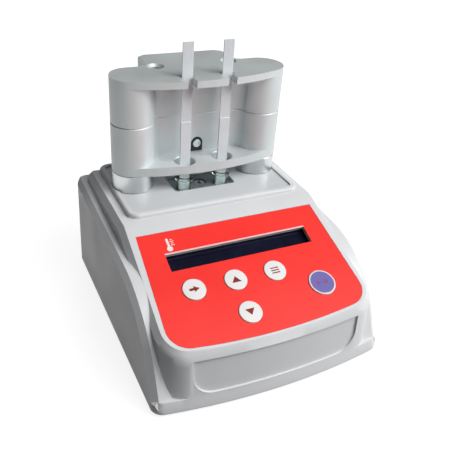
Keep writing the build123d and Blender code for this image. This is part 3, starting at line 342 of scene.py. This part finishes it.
FINISHES = {
    "case_plastic": moulded_plastic("case_plastic", colour(217, 218, 220)),
    "plate_plastic": moulded_plastic("deck_plate_plastic", colour(205, 208, 210), roughness=0.36),
    "overlay_red": printed_film(),
    "key_white": moulded_plastic("key_plastic", colour(236, 234, 232), 0.004, 0.3, 0.02),
    "key_start": moulded_plastic("start_key_plastic", colour(232, 214, 218), 0.004, 0.3, 0.02),
    "display_glass": display_glass(),
    "display_metal": blasted_metal("display_frame_metal", colour(150, 150, 152), 0.35),
    "board_green": circuit_board(),
    "part_black": moulded_plastic("black_plastic", colour(26, 27, 28), 0.008, 0.4, 0.1),
    "steel": turned_metal("zinc_steel", colour(190, 192, 196)),
    "post_aluminium": turned_metal("turned_aluminium", colour(214, 217, 218)),
    "holder_aluminium": blasted_metal("blasted_aluminium", colour(214, 220, 221), 0.46, 0.45),
    "block_metal": milled_metal(),
    "heater_orange": moulded_plastic("heater_film", colour(190, 110, 40), 0.004, 0.4, 0.05),
    "carrier_plastic": moulded_plastic("carrier_plastic", colour(38, 40, 40), 0.01, 0.5, 0.08),
    "clear_plastic": clear_plastic(),
    "strip_white": strip_card(),
    "rubber": moulded_plastic("foot_rubber", colour(24, 24, 24), 0.01, 0.7, 0.12),
    "lens_silver": turned_metal("lens_silver", colour(214, 226, 230), 0.22),
}
SYMBOL_INK = ink("symbol_ink", colour(132, 22, 24))
START_INK = ink("start_key_face", colour(112, 108, 176), 0.35, 0.05)
START_SYMBOL_INK = ink("start_key_symbol", colour(138, 82, 140), 0.35, 0.05)
# Painted highlight: pale pink tone for the light on the display window's top bevel
WINDOW_HIGHLIGHT_INK = ink("painted_highlight_ink", colour(238, 196, 196))
WHITE_INK = ink("white_ink", colour(236, 230, 230))


def place_mesh(work, name, finish):
    """Turns a bmesh into an object at the origin, with its finish."""
    mesh = bpy.data.meshes.new(name)
    work.to_mesh(mesh)
    work.free()
    mesh.materials.append(finish)
    piece = bpy.data.objects.new(name, mesh)
    bpy.context.collection.objects.link(piece)
    return piece


def raise_field(work):
    """Lifts the top edge of the scooped front field, which leaves the thin lip under the panel."""
    edge_points = [
        point for point in work.verts
        if abs(point.co.z / MM - FIELD_TOP) < NEAR
        and abs(point.co.x) / MM < FIELD_HALF_WIDTH
        and point.co.y / MM < FIELD_FRONT_Y
    ]
    lift = Vector((0.0, FIELD_LEAN, FIELD_LIFT)) * MM
    bmesh.ops.translate(work, verts=edge_points, vec=lift)


def draw_flange_back(work):
    """Draws the upper flange's front back, most in the middle and nothing at the lobes."""
    for point in work.verts:
        x, y, z = point.co / MM
        at_front = y < UPPER_FLANGE_BACK and abs(x) < UPPER_FLANGE_REACH
        if at_front and z > UPPER_FLANGE_LOW - NEAR:
            draw = UPPER_FLANGE_DRAW * (1.0 - (x / UPPER_FLANGE_REACH) ** 2)
            bmesh.ops.translate(work, verts=[point], vec=(0.0, draw * MM, 0.0))


RESHAPES = {"housing": raise_field, "upper_holder": draw_flange_back}


def smooth_copy(node):
    """A merged copy that takes a node's place and is smooth except at its real edges."""
    work = bmesh.new()
    work.from_mesh(frame["nodes"][node].data)
    bmesh.ops.remove_doubles(work, verts=work.verts, dist=MERGE_DISTANCE * MM)
    bmesh.ops.dissolve_degenerate(work, edges=work.edges, dist=THINNEST_EDGE * MM)
    for face in work.faces:
        face.smooth = True
    if node in RESHAPES:
        RESHAPES[node](work)
    for edge in work.edges:
        if len(edge.link_faces) != 2 or edge.calc_face_angle(0.0) > SHARP_ANGLE:
            edge.smooth = False
    slot_name = SLOTS[node]
    piece = place_mesh(work, node + "_shell", FINISHES[slot_name])
    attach(piece, BODY_OF[node])
    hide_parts(node)


def dress_nodes():
    """Finishes on every node, with smooth copies where a node shows."""
    for node, source in frame["nodes"].items():
        if node in COVERED_NODES:
            source.data.materials.clear()
            source.data.materials.append(FINISHES[SLOTS[node]])
        else:
            smooth_copy(node)


def panel_matrix(x, distance, height):
    """The panel's frame, with its origin at a place on the panel."""
    turn = Matrix.Rotation(PANEL_ANGLE, 4, "X")
    local = Vector((x, -distance, height)) * MM
    return Matrix.Translation(PANEL_TOP + turn.to_3x3() @ local) @ turn


def thicken(work, face, thickness):
    """Gives a flat face a thickness upwards."""
    grown = bmesh.ops.extrude_face_region(work, geom=[face])
    tops = [item for item in grown["geom"] if isinstance(item, bmesh.types.BMVert)]
    bmesh.ops.translate(work, verts=tops, vec=(0.0, 0.0, thickness * MM))


def add_polygon(work, points, thickness):
    """A flat outline that stands on the work's XY plane."""
    corners = [work.verts.new((x * MM, y * MM, 0.0)) for x, y in points]
    thicken(work, work.faces.new(corners), thickness)


def add_disc(work, radius, thickness, y=0.0):
    """A flat disc that stands on the work's XY plane."""
    size = radius * MM
    made = bmesh.ops.create_circle(work, cap_ends=True, segments=DISC_SEGMENTS, radius=size)
    bmesh.ops.translate(work, verts=made["verts"], vec=(0.0, y * MM, 0.0))
    thicken(work, made["verts"][0].link_faces[0], thickness)


def bar(x, y, width, height):
    """The corners of a rectangle round its middle."""
    left, right = x - width / 2, x + width / 2
    low, high = y - height / 2, y + height / 2
    return [(left, low), (right, low), (right, high), (left, high)]


def print_on_panel(work, name, finish, node, x, distance, height):
    """Sets a print on the panel, and the painted highlight band too, as a piece on the body of the
    node under it.
    """
    matrix = panel_matrix(x, distance, height)
    bmesh.ops.transform(work, matrix=matrix, verts=work.verts)
    bmesh.ops.recalc_face_normals(work, faces=work.faces)
    piece = place_mesh(work, name, finish)
    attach(piece, BODY_OF[node])


def key_symbols():
    """Printed symbols on the white key caps, a hair proud of them."""
    triangle = [(-2.0, -1.3), (2.0, -1.3), (0.0, 1.5)]
    arrow = [
        (-2.1, -0.55), (-0.1, -0.55), (-0.1, -1.35), (2.2, 0.0),
        (-0.1, 1.35), (-0.1, 0.55), (-2.1, 0.55),
    ]
    line_width, line_length, line_pitch = 0.5, 3.6, 1.15
    outlines = {
        "key_up": [triangle],
        "key_down": [[(-x, -y) for x, y in triangle]],
        "key_right": [arrow],
        "key_menu": [bar(0.0, row * line_pitch, line_length, line_width) for row in (1, 0, -1)],
    }
    for key, shapes in outlines.items():
        work = bmesh.new()
        for points in shapes:
            add_polygon(work, points, KEY_INK_THICKNESS)
        print_on_panel(work, key + "_symbol", SYMBOL_INK, key, *KEY_PLACES[key], KEY_PROUD)


def start_key_symbols():
    """Blue face of the start key, with a play and a stop symbol on it."""
    place = KEY_PLACES["key_start"]
    work = bmesh.new()
    add_disc(work, START_KEY_RADIUS - START_KEY_RIM, KEY_INK_THICKNESS)
    print_on_panel(work, "key_start_face", START_INK, "key_start", *place, KEY_PROUD)
    play = [(-2.7, -1.35), (-0.4, 0.0), (-2.7, 1.35)]
    stop = bar(1.6, 0.0, 2.1, 2.1)
    work = bmesh.new()
    add_polygon(work, play, KEY_INK_THICKNESS)
    add_polygon(work, stop, KEY_INK_THICKNESS)
    height = KEY_PROUD + KEY_INK_THICKNESS
    print_on_panel(work, "key_start_symbol", START_SYMBOL_INK, "key_start", *place, height)


def panel_mark():
    """Small thermometer sign with its scale, printed above the window's left end."""
    bulb_radius, bulb_y = 1.25, -2.0
    stem_width, stem_length, stem_top = 1.0, 4.0, 2.6
    scale_x, scale_start, scale_pitch = 1.75, -0.4, 0.9
    long_mark, short_mark, mark_width = 1.7, 1.1, 0.3
    stem_thickness = FILM_INK_THICKNESS - FILM_INK_STEP
    work = bmesh.new()
    add_disc(work, bulb_radius, FILM_INK_THICKNESS, bulb_y)
    stem = bar(0.0, stem_top - stem_length / 2, stem_width, stem_length)
    add_polygon(work, stem, stem_thickness)
    add_disc(work, stem_width / 2, stem_thickness - FILM_INK_STEP, stem_top)
    for step, length in enumerate((long_mark, short_mark, long_mark, short_mark)):
        mark = bar(scale_x, scale_start + scale_pitch * step, length, mark_width)
        add_polygon(work, mark, FILM_INK_THICKNESS)
    place = (SIGN_X, SIGN_DISTANCE)
    print_on_panel(work, "panel_mark", WHITE_INK, "control_overlay", *place, FILM_TOP)


def window_highlight_band():
    """Painted highlight: a pale band on the film along the top edge of the display window,
    standing for the light that falls on the window's cut bevel.
    """
    work = bmesh.new()
    add_polygon(work, bar(0.0, 0.0, WINDOW_WIDTH, WINDOW_HIGHLIGHT_WIDTH), FILM_INK_THICKNESS)
    place = (0.0, WINDOW_DISTANCE - WINDOW_LENGTH / 2 - WINDOW_HIGHLIGHT_GAP)
    print_on_panel(work, "window_highlight_band", WINDOW_HIGHLIGHT_INK, "control_overlay", *place, FILM_TOP)


def place_camera():
    """Camera at the photograph's place, with the photograph's turn and tilt."""
    yaw, pitch, roll = CAMERA_YAW, CAMERA_PITCH, CAMERA_ROLL
    level = Vector((math.sin(yaw), math.cos(yaw), 0.0))
    forward = level * math.cos(pitch) - Vector((0.0, 0.0, math.sin(pitch)))
    level_right = Vector((math.cos(yaw), -math.sin(yaw), 0.0))
    level_up = level_right.cross(forward)
    right = math.cos(roll) * level_right + math.sin(roll) * level_up
    up = -math.sin(roll) * level_right + math.cos(roll) * level_up
    data = bpy.data.cameras.new("photo_camera")
    data.sensor_width = SENSOR_WIDTH
    data.sensor_fit = "HORIZONTAL"
    data.lens = FOCAL_PIXELS / IMAGE_PIXELS * SENSOR_WIDTH
    data.clip_start = 0.01
    data.clip_end = 20.0
    camera = bpy.data.objects.new("photo_camera", data)
    turn = Matrix((right, up, -forward)).transposed().to_4x4()
    camera.matrix_world = Matrix.Translation(CAMERA_PLACE) @ turn
    bpy.context.collection.objects.link(camera)
    bpy.context.scene.camera = camera


def ray_kinds(nodes, *kinds):
    """The sum of light path outputs: above zero for a ray of one of the kinds."""
    first, *others = [nodes.node("LightPath", out=f"Is {kind} Ray") for kind in kinds]
    return sum(others, first)


def white_stage():
    """Pale floor that shows white to the camera and keeps a soft shadow."""
    surface = Surface("pale_floor")
    rays = ray_kinds(surface, "Camera", "Glossy", "Transmission")
    seen = surface.ramp(rays, 0.0, 1.0, 0.0, 1.0)
    matt = surface.node("BsdfDiffuse", sockets={"Color": FLOOR_GREY}, out="BSDF")
    dark = surface.node("BsdfDiffuse", sockets={"Color": FLOOR_DARK}, out="BSDF")
    glow = surface.node("Emission", sockets={"Color": WHITE, "Strength": FLOOR_GLOW})
    lit = surface.node("AddShader", sockets={0: matt, 1: glow})
    surface.show(surface.node("MixShader", sockets={0: seen, 1: dark, 2: lit}))
    work = bmesh.new()
    bmesh.ops.create_grid(work, x_segments=1, y_segments=1, size=FLOOR_SIZE)
    floor = place_mesh(work, "floor", surface.material)


def world_light():
    """White surroundings to the camera, and dim ones to the object."""
    world = bpy.data.worlds.new("studio")
    bpy.context.scene.world = world
    world.use_nodes = True
    nodes = Nodes(world.node_tree, "World")
    seen = ray_kinds(nodes, "Camera", "Transmission")
    dim = nodes.node("Background", sockets={"Color": WHITE, "Strength": WORLD_DIM})
    white = nodes.node("Background", sockets={"Color": WHITE, "Strength": 1.0})
    nodes.show(nodes.node("MixShader", sockets={0: seen, 1: dim, 2: white}))


def soft_lamp(name, place, width, power):
    """A square lamp that looks at the middle of the object."""
    data = bpy.data.lights.new(name, "AREA")
    data.shape = "RECTANGLE"
    data.size = data.size_y = width
    data.energy = power
    lamp = bpy.data.objects.new(name, data)
    aim = (LAMP_TARGET - Vector(place)).to_track_quat("-Z", "Y")
    lamp.matrix_world = Matrix.Translation(place) @ aim.to_matrix().to_4x4()
    bpy.context.collection.objects.link(lamp)
    return lamp


def studio_lamps():
    """A main lamp at the right, one above, and a rear one that metal doesn't mirror."""
    soft_lamp("right_lamp", place=(0.89, -0.52, 0.66), width=0.7, power=11.6)
    soft_lamp("top_lamp", place=(0.30, -0.50, 0.95), width=0.7, power=7.0)
    rear_lamp = soft_lamp("rear_lamp", place=(0.15, 1.0, 0.30), width=0.6, power=5.0)
    rear_lamp.visible_glossy = False


def main():
    dress_nodes()
    key_symbols()
    start_key_symbols()
    panel_mark()
    window_highlight_band()
    place_camera()
    white_stage()
    world_light()
    studio_lamps()
    bpy.context.scene.view_settings.view_transform = "Standard"


main()
